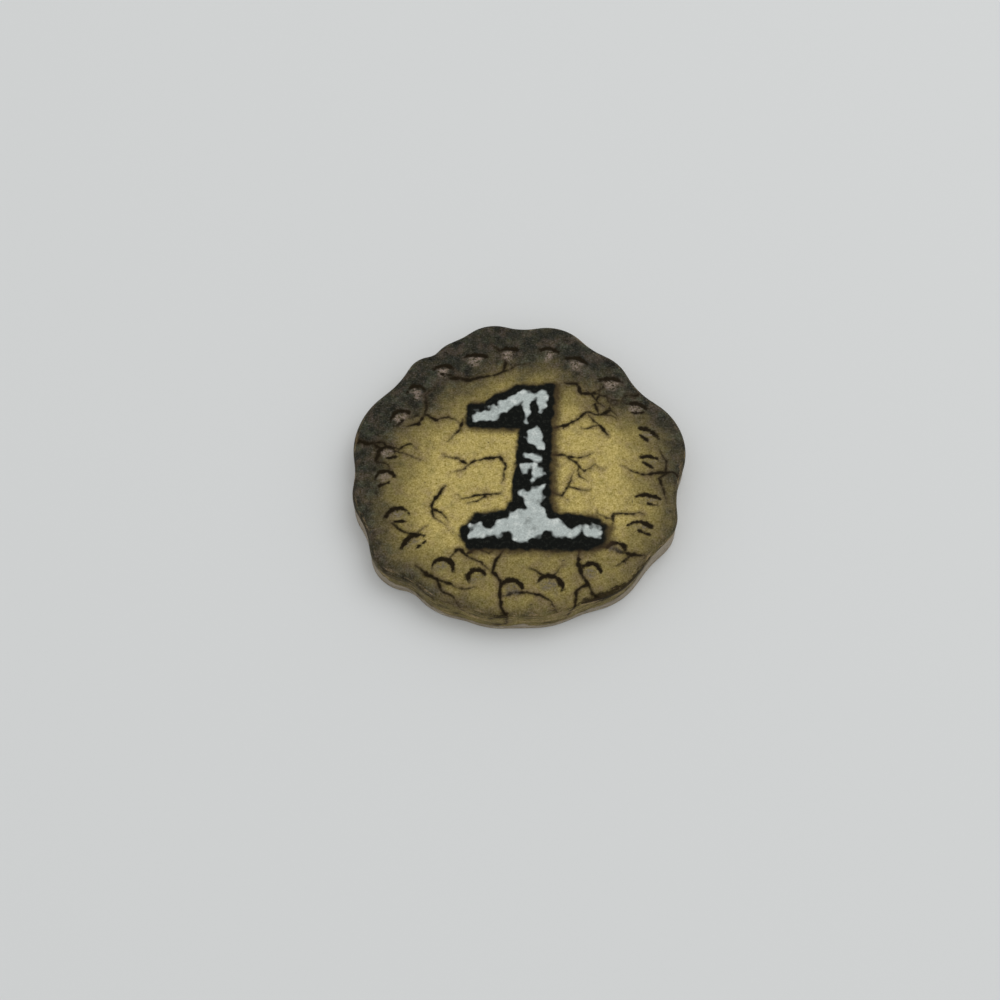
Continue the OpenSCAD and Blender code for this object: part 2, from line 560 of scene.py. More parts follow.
@dataclass(frozen=True)
class Fissure:
    """One crack: its start, heading and bend in degrees, its reach, its half width and its forks."""

    x: float
    y: float
    heading: float
    reach: float
    width: float
    bend: float
    forks: int
    seed: int
    stride: float = 0.24
    least_strides: int = 5
    kink: float = 30.0
    kink_strides: int = 4
    shake: float = 9.0
    fork_start: Pair = (0.15, 0.8)
    fork_swing: Pair = (38.0, 75.0)
    fork_reach: Pair = (0.3, 0.6)
    fork_width: float = 0.8
    fork_bend: float = 50.0
    swell: Pair = (0.55, 1.35)
    thinning: float = 0.03
    far: float = 2.0
    path_seeds: int = 400
    fork_seeds: int = 700
    width_seeds: int = 900

    def path(self) -> Array:
        """Runs the crack in equal strides.

        The heading bends steadily, keeps a random kink for some strides at a time, and shakes a
        little at every stride.

        Returns:
            Points of the crack.
        """
        chance = np.random.default_rng(self.path_seeds + self.seed)
        count = max(self.least_strides, round(self.reach / self.stride))
        kinks = chance.normal(0, self.kink, count // self.kink_strides + 1)
        swing = np.repeat(kinks, self.kink_strides)[:count] + chance.normal(0, self.shake, count)
        heading = np.radians(self.heading + self.bend * np.arange(count) / count + swing)
        step = self.stride * np.stack([np.cos(heading), np.sin(heading)], axis=1)
        return np.array([self.x, self.y]) + np.vstack([np.zeros(2), np.cumsum(step, axis=0)])

    def branches(self) -> list["Fissure"]:
        """Forks thinner cracks off on either side in turn.

        Returns:
            The forks.
        """
        chance = np.random.default_rng(self.fork_seeds + self.seed)
        path = self.path()
        made = []
        for number in range(self.forks):
            index = int(chance.uniform(*self.fork_start) * (len(path) - 1))
            ahead = path[index + 1] - path[index]
            swing = chance.uniform(*self.fork_swing) * (-1) ** number
            heading = math.degrees(math.atan2(ahead[1], ahead[0])) + swing
            reach = self.reach * chance.uniform(*self.fork_reach)
            bend = chance.uniform(-self.fork_bend, self.fork_bend)
            seed = 31 * self.seed + number + 1
            width = self.fork_width * self.width
            made.append(Fissure(*path[index], heading, reach, width, bend, 0, seed))
        return made

    def distance(self, u: Array, v: Array) -> Array:
        """Signed distance to the crack and its forks, which swell at random and end thin.

        Args:
            u: places across the sheet.
            v: places up the sheet.

        Returns:
            One distance for each place, below 0 inside.
        """
        chance = np.random.default_rng(self.width_seeds + self.seed)
        path = self.path()
        share = np.linspace(0, 1, len(path))
        taper = np.minimum(1, 0.4 + 4 * share) * (1 - share**2)
        width = self.width * taper * chance.uniform(*self.swell, len(path)) - self.thinning
        gap = np.full(u.shape, self.far)
        near = np.hypot(u - self.x, v - self.y) < self.reach + self.far
        p, q, least = u[near], v[near], gap[near]
        for start, end, wide, narrow in zip(path[:-1], path[1:], width[:-1], width[1:]):
            away, along = to_side(p, q, start, end)
            least = np.minimum(least, away - wide - (narrow - wide) * along)
        gap[near] = least
        return np.min([gap] + [fork.distance(u, v) for fork in self.branches()], axis=0)


FISSURES = (
    Fissure(2.6, 2.9, 35, 5.2, 0.16, -35, 3, 1),
    Fissure(2.4, 0.6, -12, 4.6, 0.14, 40, 2, 2),
    Fissure(6.6, 2.2, 100, 3.0, 0.13, 30, 1, 3),
    Fissure(12.9, -1.2, 176, 6.0, 0.17, -25, 2, 4),
    Fissure(2.2, -2.4, -25, 3.6, 0.13, 30, 1, 5),
    Fissure(6.6, -5.2, 35, 3.4, 0.14, -20, 1, 6),
    Fissure(-12.9, 1.8, -12, 6.2, 0.18, -20, 2, 7),
    Fissure(-1.0, -0.4, 170, 4.8, 0.15, 35, 2, 24),
    Fissure(-5.4, -2.0, -105, 4.0, 0.17, 45, 1, 9),
    Fissure(-1.4, -2.6, 200, 3.4, 0.13, -30, 1, 10),
    Fissure(-1.2, -7.2, -100, 8.6, 0.18, 10, 1, 11),
    Fissure(4.2, -7.2, -75, 7.2, 0.19, -15, 1, 12),
    Fissure(-5.0, -7.8, 12, 4.6, 0.14, -35, 1, 13),
    Fissure(0.6, -8.6, 10, 3.2, 0.11, 10, 0, 14),
    Fissure(-8.4, 3.0, 25, 5.4, 0.15, -55, 1, 15),
    Fissure(-5.6, 7.2, 8, 6.6, 0.16, 25, 1, 16),
    Fissure(3.4, 6.9, -25, 5.2, 0.16, -10, 2, 17),
    Fissure(-4.2, 3.7, -75, 2.4, 0.14, -30, 0, 18),
    Fissure(-9.2, -5.0, -20, 3.2, 0.13, 30, 0, 19),
    Fissure(8.8, -7.6, 190, 4.0, 0.16, 20, 1, 20),
    Fissure(-7.4, -8.4, -70, 5.0, 0.16, 20, 1, 21),
    Fissure(9.6, 8.4, 215, 4.6, 0.15, 20, 1, 22),
)


@dataclass(frozen=True)
class PrintDesign:
    """The printed picture on the flat sheet, as fields that shaders turn into ink."""

    numeral: Numeral = Numeral()
    border: MarkRing = MarkRing()
    fissures: tuple[Fissure, ...] = FISSURES
    belt_radius: float = 12.0
    belt_squeeze: float = 5.0
    burns: tuple[Bell, ...] = (Bell(302, 17, 1.0), Bell(264, 3, 0.8), Bell(205, 10, 0.25))
    burn_rim: float = -0.15
    burn_spread: float = 0.48
    gloom_depth: float = 2.95
    gloom_shift: Pair = (-0.65, 2.15)
    gloom_spread: float = 3.6
    side_lift: float = 0.25
    side_range: Pair = (0.3, -0.7)
    low_share: float = 0.4
    low_range: Pair = (-5.0, -8.5)

    def fields(self, art: Array, rim: Array) -> dict[str, Array]:
        """The picture's fields at each point of a sheet.

        The belt is a place on a cylinder, so that noise on it is drawn out along the rim.

        Args:
            art: place of each point on the flat sheet.
            rim: distance of each point in from the rim, below 0 down the side.

        Returns:
            Values or vectors by name.
        """
        u, v = art.T
        stroke, hollow = self.border.fields(u, v)
        ray = art / np.maximum(np.hypot(u, v), TINY)[:, None]
        return {
            "art": np.column_stack([art, np.zeros(len(art))]),
            "belt": np.column_stack([self.belt_radius * ray, self.belt_squeeze * rim]),
            "numeral": self.numeral.distance(u, v),
            "halo": self.numeral.halo(u, v),
            "shard": self.numeral.broken(u, v),
            "stroke": stroke,
            "hollow": hollow,
            "crack": np.min([fissure.distance(u, v) for fissure in self.fissures], axis=0),
            "gloom": self._gloom(ray, v, rim),
            "scorch": self._scorch(ray, rim),
            "rim": rim,
        }

    def _scorch(self, ray: Array, rim: Array) -> Array:
        """Share of the burnt look on the shoulder: a bell in direction times a bell across the rim.

        Args:
            ray: directions from the middle.
            rim: distances in from the rim.

        Returns:
            The share, near 0 away from the burns.
        """
        heading = np.degrees(np.arctan2(ray[:, 1], ray[:, 0]))
        burnt = np.max([burn.at(heading) for burn in self.burns], axis=0)
        return burnt * np.exp(-(((rim - self.burn_rim) / self.burn_spread) ** 2))

    def _gloom(self, ray: Array, v: Array, rim: Array) -> Array:
        """Share of the dark border, which is deep at the top and left and faint at the bottom.

        It fades evenly over a spread on either side of its depth in from the rim. The depth
        follows the cosine and the sine of the direction. The side is lighter than the rim, and
        the foot of the face has a least share of its own.

        Args:
            ray: directions from the middle.
            v: places up the sheet.
            rim: distances in from the rim.

        Returns:
            1 where the border is darkest, 0 in the middle.
        """
        depth = self.gloom_depth + ray @ np.array(self.gloom_shift)
        spread = self.gloom_spread
        share = 1 - smooth_step(depth - spread, depth + spread, np.maximum(rim, 0))
        low = self.low_share * smooth_step(*self.low_range, v)
        return np.maximum(share * (1 - self.side_lift * smooth_step(*self.side_range, rim)), low)


class Value:
    """A shader value: arithmetic on it adds Math nodes."""

    def __init__(self, graph: "Graph", socket: bpy.types.NodeSocket) -> None:
        """Wraps an output socket of a graph."""
        self.graph = graph
        self.socket = socket

    def _math(self, operation: str, *terms: Any) -> "Value":
        """Math node on the terms."""
        inputs = dict(enumerate(terms))
        return self.graph.value("ShaderNodeMath", {"operation": operation}, inputs)

    def __add__(self, other: Any) -> "Value":
        """Sum."""
        return self._math("ADD", self, other)

    def __sub__(self, other: Any) -> "Value":
        """Difference."""
        return self._math("SUBTRACT", self, other)

    def __rsub__(self, other: Any) -> "Value":
        """Difference, with a number first."""
        return self._math("SUBTRACT", other, self)

    def __mul__(self, other: Any) -> "Value":
        """Product."""
        return self._math("MULTIPLY", self, other)

    __radd__ = __add__
    __rmul__ = __mul__

    def most(self, other: Any) -> "Value":
        """The larger of two."""
        return self._math("MAXIMUM", self, other)

    def ramp(self, low: float, high: float) -> "Value":
        """Share from 0 at low to 1 at high, level at both ends; low may be the larger."""
        inputs = {"Value": self, "From Min": low, "From Max": high}
        return self.graph.value("ShaderNodeMapRange", {"interpolation_type": "SMOOTHSTEP"}, inputs)


class Graph:
    """Node tree of one material or world."""

    def __init__(self, tree: bpy.types.NodeTree) -> None:
        """Starts with an empty tree."""
        self.tree = tree
        tree.nodes.clear()

    def node(self, kind: str, settings: dict[str, Any], inputs: dict[Any, Any]) -> bpy.types.Node:
        """Adds a node.

        Args:
            kind: type of the node.
            settings: properties, set first; "stops" gives a colour ramp's places and colours.
            inputs: a number, colour, link or Value for each socket, by name or number.

        Returns:
            The node.
        """
        made = self.tree.nodes.new(kind)
        for name, setting in settings.items():
            if name == "stops":
                self._set_stops(made.color_ramp, setting)
            else:
                setattr(made, name, setting)
        for key, given in inputs.items():
            socket = made.inputs[key]
            source = given.socket if isinstance(given, Value) else given
            if isinstance(source, bpy.types.NodeSocket):
                self.tree.links.new(source, socket)
            else:
                socket.default_value = source
        return made

    @staticmethod
    def _set_stops(ramp: bpy.types.ColorRamp, stops: dict[float, Colour]) -> None:
        """Sets a colour ramp's stops.

        Args:
            ramp: the ramp, with the two stops of a new one.
            stops: colours by place.
        """
        places = sorted(stops)
        for place in places[2:]:
            ramp.elements.new(place)
        for stop, place in zip(ramp.elements, places):
            stop.position = place
            stop.color = stops[place]

    def value(self, kind: str, settings: dict[str, Any], inputs: dict[Any, Any], output: Any = 0) -> Value:
        """Adds a node and wraps one of its outputs."""
        return Value(self, self.node(kind, settings, inputs).outputs[output])

    def field(self, name: str) -> Value:
        """A piece's own number for each point."""
        return self.value("ShaderNodeAttribute", {"attribute_name": name}, {}, "Fac")

    def place(self, name: str) -> Value:
        """A piece's own vector for each point."""
        return self.value("ShaderNodeAttribute", {"attribute_name": name}, {}, "Vector")

    def millimetres(self, by: Triple = (1, 1, 1)) -> Value:
        """Object coordinates in millimetres.

        Args:
            by: scale along each axis.

        Returns:
            The scaled place.
        """
        place = self.node("ShaderNodeTexCoord", {}, {}).outputs["Object"]
        inputs = {0: place, 1: tuple(share / MM for share in by)}
        return self.value("ShaderNodeVectorMath", {"operation": "MULTIPLY"}, inputs)

    def turned(self, place: Value, degrees: float) -> Value:
        """Vector turned about Z."""
        inputs = {"Vector": place, "Angle": math.radians(degrees)}
        return self.value("ShaderNodeVectorRotate", {"rotation_type": "Z_AXIS"}, inputs)

    def noise(self, place: Value, scale: float, detail: float, rough: float) -> Value:
        """Cloudy noise from about 0.2 to 0.8, with scale clouds to the millimetre."""
        inputs = {"Vector": place, "Scale": scale, "Detail": detail, "Roughness": rough}
        return self.value("ShaderNodeTexNoise", {}, inputs, "Fac")

    def sway(self, place: Value, scale: float, detail: float, rough: float) -> Value:
        """The same noise about 0."""
        return self.noise(place, scale, detail, rough) - 0.5

    def toned(self, colour: Value, speck: Value, weight: Triple) -> Value:
        """Lightens and darkens a colour by specks.

        Args:
            colour: the colour below.
            speck: specks about 0.
            weight: strength of the specks in each channel.

        Returns:
            The colour times 1 plus the weighted specks.
        """
        inputs = {0: speck, 1: weight, 2: (1.0, 1.0, 1.0)}
        factor = self.value("ShaderNodeVectorMath", {"operation": "MULTIPLY_ADD"}, inputs)
        return self.mix(1.0, colour, factor, "MULTIPLY")

    def mix(self, share: Any, first: Any, second: Any, blend: str = "MIX") -> Value:
        """Colour that goes from the first to the second, or blends them in another way."""
        inputs = {"Factor": share, 6: first, 7: second}
        return self.value("ShaderNodeMix", {"data_type": "RGBA", "blend_type": blend}, inputs, 2)

    def shades(self, share: Value, stops: dict[float, Colour]) -> Value:
        """Colour from a ramp."""
        return self.value("ShaderNodeValToRGB", {"stops": stops}, {"Fac": share})

    def bump(self, height: Value, depth: float, strength: float) -> Value:
        """Normal of a surface with a relief of the given depth in millimetres."""
        inputs = {"Height": height, "Distance": depth * MM, "Strength": strength}
        return self.value("ShaderNodeBump", {}, inputs)

    def surface(self, inputs: dict[str, Any]) -> None:
        """Ends the tree with a Principled shader."""
        shader = self.node("ShaderNodeBsdfPrincipled", {}, inputs)
        self.node("ShaderNodeOutputMaterial", {}, {"Surface": shader.outputs[0]})


def new_graph(name: str) -> tuple[bpy.types.Material, Graph]:
    """Makes a material with an empty node tree.

    Args:
        name: name of the material.

    Returns:
        The material and its graph.
    """
    material = bpy.data.materials.new(name)
    material.use_nodes = True
    return material, Graph(material.node_tree)


@dataclass(frozen=True)
class Stain:
    """Cloudy patches of one colour on the print.

    They are noise, of a scale, detail and roughness, on the sheet turned by some degrees. They
    start at the first level and are full at the second. Their strength is the first weight plus
    the second times the share of the border's darkness between two depths.
    """

    colour: Colour
    degrees: float
    noise: Triple
    levels: Pair
    weights: Pair
    depths: Pair

    def over(self, g: Graph, art: Value, depth: Value, colour: Value) -> Value:
        """Lays the patches over a colour.

        Args:
            g: the material's graph.
            art: place on the flat sheet.
            depth: darkness of the border.
            colour: the colour below.

        Returns:
            The colour with the patches on it.
        """
        patches = g.noise(g.turned(art, self.degrees), *self.noise).ramp(*self.levels)
        weight = self.weights[0] + self.weights[1] * depth.ramp(*self.depths)
        return g.mix(patches * weight, colour, self.colour)


@dataclass(frozen=True)
class PrintFinish:
    """Offset print under satin varnish: old gold that darkens to the rim, with black ink over it.

    A noise is given by its clouds to the millimetre, detail and roughness. The two numbers of an
    edge are the distances in millimetres at which an ink starts and is full.
    """

    name: str
    depths: tuple[float, ...] = (0.0, 0.32, 0.66, 0.85, 1.0)
    ground: tuple[Colour, ...] = (
        srgb(170, 153, 91), srgb(129, 116, 68), srgb(89, 80, 51), srgb(57, 53, 39), srgb(35, 36, 30),
    )
    flush: Colour = srgb(126, 108, 86)
    stains: tuple[Stain, ...] = (
        Stain(flush, 40, (0.9, 5, 0.65), (0.48, 0.7), (0.08, 0.2), (0.95, 0.35)),
        Stain(srgb(116, 111, 66), 110, (1.1, 5, 0.65), (0.48, 0.7), (0.05, 0.25), (0.95, 0.35)),
        Stain(srgb(90, 77, 66), 75, (0.9, 3, 0.55), (0.48, 0.64), (0.0, 0.35), (0.45, 0.85)),
        Stain(srgb(76, 80, 64), 150, (0.9, 3, 0.55), (0.5, 0.66), (0.0, 0.35), (0.45, 0.85)),
        Stain(srgb(16, 15, 11), 200, (1.2, 3, 0.6), (0.5, 0.66), (0.0, 0.6), (0.62, 0.95)),
    )
    dust: Colour = srgb(104, 97, 80)
    smudge: Colour = srgb(112, 118, 115)
    scraped: Colour = srgb(152, 130, 96)
    ink: Colour = srgb(9, 11, 8)
    thin: Colour = srgb(46, 48, 42)
    fill: Colour = srgb(168, 176, 173)
    bright: Colour = srgb(192, 198, 194)
    bloom: Colour = srgb(50, 38, 24)
    line: Colour = srgb(25, 18, 4)
    hollow: Colour = srgb(90, 83, 70)
    chalk: Colour = srgb(130, 116, 102)
    # Bare paper of the cut edges is darkened, partly for a real stain and partly as painted shade: these
    # edges lie low by the floor, in shadow.
    paper: Colour = srgb(168, 158, 138)
    stained_and_shaded: Colour = srgb(116, 106, 86)
    grain_noise: Triple = (3.6, 3, 0.7)
    fine_noise: Triple = (8.0, 2, 0.6)
    cloud_noise: Triple = (1.1, 3, 0.55)
    drift_noise: Triple = (0.33, 2, 0.55)
    streak_noise: Triple = (0.8, 4, 0.6)
    scuff_noise: Triple = (2.2, 5, 0.7)
    crack_noise: Triple = (3.0, 3, 0.6)
    mark_noise: Triple = (1.8, 3, 0.6)
    fray_noise: Triple = (1.7, 3, 0.5)
    brush_noise: Triple = (1.3, 1, 0.4)
    smudge_noise: Triple = (0.8, 4, 0.6)
    bright_noise: Triple = (1.3, 3, 0.6)
    gold_speck: Triple = (1.0, 1.05, 1.7)
    fill_speck: Triple = (0.5, 0.5, 0.5)
    numeral_edge: Pair = (0.17, -0.12)
    bloom_edge: Pair = (0.65, -0.15)
    shard_edge: Pair = (0.14, -0.12)
    fill_edge: Pair = (0.14, -0.14)
    fill_inset: float = 0.6
    stroke_edge: Pair = (0.12, -0.09)
    hollow_edge: Pair = (0.2, -0.25)
    crack_edge: Pair = (0.1, -0.07)
    crack_bloom: Pair = (0.3, 0.0)
    crack_flush: Pair = (0.9, 0.15)
    gloss: float = 0.05
    relief_depth: float = 0.006

    def material(self) -> bpy.types.Material:
        """Builds the finish from the fields of the printed picture.

        Returns:
            The material.
        """
        material, g = new_graph(self.name)
        art = g.place("art")
        grain = g.noise(art, *self.grain_noise)
        fine = g.noise(art, *self.fine_noise)
        cloud = g.noise(art, *self.cloud_noise)
        speck = 1.4 * (grain - 0.5) + 1.5 * (fine - 0.5)
        colour = self._ground(g, art, fine, cloud)
        colour = self._cracks(g, art, cloud, colour)
        colour = self._border(g, art, grain, colour)
        colour, worn = self._wear(g, grain, cloud, colour)
        colour = g.toned(colour, speck, self.gold_speck)
        colour = self._numeral(g, art, grain, speck, colour)
        # The bare cut edges take the darkened paper colours, partly stain and partly painted shade.
        bare = (g.field("bare") + 0.8 * (grain - 0.5)).ramp(0.45, 0.85)
        g.surface({
            "Base Color": g.mix(bare, colour, g.mix(grain, self.paper, self.stained_and_shaded)),
            "Roughness": 0.4 + 0.2 * grain + 0.3 * bare + 0.2 * worn,
            "Specular IOR Level": self.gloss,
            "Normal": g.bump(grain * 0.7 + cloud * 0.5 - worn, self.relief_depth, 0.6),
        })
        return material

    def _ground(self, g: Graph, art: Value, fine: Value, cloud: Value) -> Value:
        """Mottled gold, flushed with pink and olive, darkening to a sooty rim.

        Args:
            g: the material's graph.
            art: place on the flat sheet.
            fine: the finest noise.
            cloud: coarse noise.

        Returns:
            The colour of the ground.
        """
        depth = g.field("gloom") + 0.45 * (cloud - 0.5) + 0.3 * g.sway(art, *self.drift_noise)
        colour = g.shades(depth, dict(zip(self.depths, self.ground)))
        for stain in self.stains:
            colour = stain.over(g, art, depth, colour)
        return g.mix(fine.ramp(0.5, 0.75) * depth.ramp(0.45, 0.85) * 0.25, colour, self.dust)

    def _cracks(self, g: Graph, art: Value, cloud: Value, colour: Value) -> Value:
        """Dark cracks with a brown edge, and pinkish stains beside them in places.

        Args:
            g: the material's graph.
            art: place on the flat sheet.
            cloud: coarse noise.
            colour: the colour below.

        Returns:
            The cracked colour.
        """
        gap = g.field("crack") + 0.22 * g.sway(art, *self.crack_noise)
        beside = gap.ramp(*self.crack_flush) * cloud.ramp(0.42, 0.6)
        colour = g.mix(beside * g.field("gloom").ramp(0.8, 0.4) * 0.28, colour, self.flush)
        colour = g.mix(gap.ramp(*self.crack_bloom) * 0.4, colour, self.bloom)
        return g.mix(gap.ramp(*self.crack_edge), colour, self.line)

    def _border(self, g: Graph, art: Value, grain: Value, colour: Value) -> Value:
        """Pale hollows and dark strokes of the border marks.

        Args:
            g: the material's graph.
            art: place on the flat sheet.
            grain: fine noise.
            colour: the colour below.

        Returns:
            The colour with the marks on it.
        """
        wobble = g.sway(art, *self.mark_noise)
        pale = (g.field("hollow") + 1.3 * wobble).ramp(*self.hollow_edge)
        dark = (g.field("stroke") + 0.5 * wobble).ramp(*self.stroke_edge)
        chalk = g.mix(g.field("gloom").ramp(0.4, 0.8), self.hollow, self.chalk)
        colour = g.mix(pale * grain.ramp(0.34, 0.62) * 0.85, colour, chalk)
        return g.mix(dark, colour, self.line)

    def _wear(self, g: Graph, grain: Value, cloud: Value, colour: Value) -> tuple[Value, Value]:
        """Burns on the shoulder, streaks down the side and scuffs along the edge.

        Args:
            g: the material's graph.
            grain: fine noise.
            cloud: coarse noise.
            colour: the colour below.

        Returns:
            The worn colour, and the share of the scuffs.
        """
        belt, rim = g.place("belt"), g.field("rim")
        streak = g.noise(belt, *self.streak_noise)
        ragged = 1.4 * (streak - 0.5) + 1.6 * (cloud - 0.5) + 1.2 * (grain - 0.5)
        colour = g.mix((g.field("scorch") + ragged).ramp(0.3, 0.7) * 0.85, colour, self.line)
        side = rim.ramp(0.45, -0.1)
        colour = g.mix(side * streak.ramp(0.54, 0.64) * 0.7, colour, self.bloom)
        colour = g.mix(side * streak.ramp(0.46, 0.36) * 0.5, colour, self.scraped)
        edge = rim.ramp(0.75, 0.35) * rim.ramp(-0.35, 0.1)
        worn = g.noise(belt, *self.scuff_noise).ramp(0.6, 0.72) * edge * 0.6
        return g.mix(worn, colour, self.scraped), worn

    def _numeral(self, g: Graph, art: Value, grain: Value, speck: Value, colour: Value) -> Value:
        """Black numeral with a brown bloom round it and a pale, broken fill.

        Args:
            g: the material's graph.
            art: place on the flat sheet.
            grain: fine noise.
            speck: specks about 0.
            colour: the colour below.

        Returns:
            The colour with the numeral on it.
        """
        fray = g.sway(art, *self.fray_noise)
        brush = g.sway(art, *self.brush_noise) + 0.3 * fray
        solid = g.field("numeral")
        bloom = (g.field("halo") + 0.6 * fray).ramp(*self.bloom_edge)
        colour = g.mix(bloom * 0.9, colour, self.bloom)
        ink = g.mix(grain.ramp(0.48, 0.75) * 0.5, self.ink, self.thin)
        colour = g.mix((solid + 0.6 * brush).ramp(*self.numeral_edge), colour, ink)
        broken = (g.field("shard") + 0.9 * brush).ramp(*self.shard_edge)
        inner = (solid + self.fill_inset - 1.1 * brush).ramp(*self.fill_edge)
        smudged = g.noise(art, *self.smudge_noise).ramp(0.5, 0.72) * 0.7
        bright = g.noise(art, *self.bright_noise).ramp(0.52, 0.7)
        pale = g.mix(bright, g.mix(smudged, self.fill, self.smudge), self.bright)
        return g.mix(inner * (1 - broken), colour, g.toned(pale, speck, self.fill_speck))


@dataclass(frozen=True)
class GreyboardFinish:
    """Cut edge of pressed waste-paper board: plies, fibres and flecks."""

    name: str = "greyboard"
    plain: Colour = srgb(141, 131, 115)
    dark: Colour = srgb(100, 91, 79)
    light: Colour = srgb(170, 160, 143)
    ply_stretch: Triple = (0.9, 0.9, 9.0)
    ply_noise: Triple = (0.9, 4, 0.6)
    fibre_stretch: Triple = (3.5, 3.5, 14.0)
    fibre_noise: Triple = (1.2, 3, 0.7)
    fleck_noise: Triple = (4.2, 2, 0.5)
    gloss: float = 0.2
    relief_depth: float = 0.03

    def material(self) -> bpy.types.Material:
        """Builds the finish on object coordinates.

        Returns:
            The material.
        """
        material, g = new_graph(self.name)
        plies = g.noise(g.millimetres(self.ply_stretch), *self.ply_noise)
        fibres = g.noise(g.millimetres(self.fibre_stretch), *self.fibre_noise)
        flecks = g.noise(g.millimetres(), *self.fleck_noise)
        stops = {0.3: self.dark, 0.5: self.plain, 0.72: self.light}
        colour = g.shades(plies * 0.6 + fibres * 0.4, stops)
        colour = g.mix(flecks.ramp(0.66, 0.74) * 0.6, colour, self.dark)
        colour = g.mix(flecks.ramp(0.33, 0.26) * 0.5, colour, self.light)
        g.surface({
            "Base Color": colour,
            "Roughness": 0.78 + 0.3 * (fibres - 0.5),
            "Specular IOR Level": self.gloss,
            "Normal": g.bump(plies * 0.6 + fibres, self.relief_depth, 0.8),
        })
        return material


@dataclass(frozen=True)
class PasteFinish:
    """Dried vegetable paste, squeezed to a thin film."""

    name: str = "paste"
    wet: Colour = srgb(150, 140, 118)
    dry: Colour = srgb(196, 188, 168)
    streak_stretch: Triple = (2, 2, 8)
    streak_noise: Triple = (1.5, 3, 0.55)
    relief_depth: float = 0.01

    def material(self) -> bpy.types.Material:
        """Builds the finish on object coordinates.

        Returns:
            The material.
        """
        material, g = new_graph(self.name)
        streaks = g.noise(g.millimetres(self.streak_stretch), *self.streak_noise)
        g.surface({
            "Base Color": g.mix(streaks.ramp(0.35, 0.65), self.wet, self.dry),
            "Roughness": 0.5 + 0.3 * streaks,
            "Normal": g.bump(streaks, self.relief_depth, 0.5),
        })
        return material


Finish = PrintFinish | GreyboardFinish | PasteFinish


@dataclass
class DragLine:
    """The torn line down the side where the dragged front sheet ends.

    At each tear the sheet broke off higher.
    """

    layers: Layers
    near_drop: float = 0.62
    waver: float = 0.05
    waver_wave: Ripple = Ripple(5, 3, 22, 0.8)
    fray: float = 0.035
    fray_wave: Ripple = Ripple(6, 40, 220, 0.5)
    least_board: float = 0.08
    least_drop: float = 0.55
    tears: tuple[Bell, ...] = (
        Bell(335, 27, 1.6), Bell(206, 17, 1.5), Bell(40, 12, 0.5), Bell(84, 9, 0.3),
        Bell(131, 14, 0.6), Bell(270, 3, 0.45), Bell(240, 4, 0.2),
    )

    def heights(self, turn: Array) -> Array:
        """Height of the line in each direction.

        It lies at the frame's height, drops on the -Y side with a square root, rises in a
        bell at each tear, and wavers and frays at random.

        Args:
            turn: directions in radians.

        Returns:
            One height for each direction.
        """
        level = self.layers.drag_end - self.near_drop * np.clip(-np.sin(turn), 0, 1) ** 0.5
        for tear in self.tears:
            level = level + tear.at(np.degrees(turn))
        level = level + self.waver * self.waver_wave.at(turn) + self.fray * self.fray_wave.at(turn)
        return np.clip(level, self.layers.core_low + self.least_board, self.layers.face - self.least_drop)


@dataclass
class TokenPiece:
    """What the token's pieces share: the layers, the outline and the line where the sheet ends."""

    layers: Layers
    drag: DragLine
    columns: int = 1056
    roll_steps: int = 8

    def __post_init__(self) -> None:
        """Lays out the columns of the piece."""
        self.outline = Outline(self.columns)
        self.line = self.drag.heights(self.outline.turn)

    def level(self, *values: float | Array) -> Array:
        """Rings by columns array of values, each one number or one number for every column."""
        return np.stack([np.broadcast_to(v, self.columns) for v in values])

    def roll(self, edge: float, top: float) -> tuple[Array, Array]:
        """Quarter circle of the rolled edge, from the flat face out and down to the wall.

        Args:
            edge: inset of the wall.
            top: height of the face.

        Returns:
            Insets and heights of its rings.
        """
        radius = self.outline.roll_radius - edge
        angle = np.linspace(0, TURN / 4, self.roll_steps + 1)
        inset = edge + radius * (1 - np.sin(angle))
        height = top - radius * (1 - np.cos(angle))
        return self.level(*inset), self.level(*height)

    def join(self, loft: Loft, name: str, node: str, slot: str, finish: Finish) -> bpy.types.Object:
        """Makes the mesh of a loft, dresses it and puts it on the frame.

        Args:
            loft: the piece's surface.
            name: name of the piece.
            node: the frame's node that it stands for.
            slot: not used.
            finish: the finish that it gets.

        Returns:
            The piece.
        """
        piece = loft.mesh_object(name)
        piece.data.materials.append(finish.material())
        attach(piece, BODY)
        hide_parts(node)
        return piece


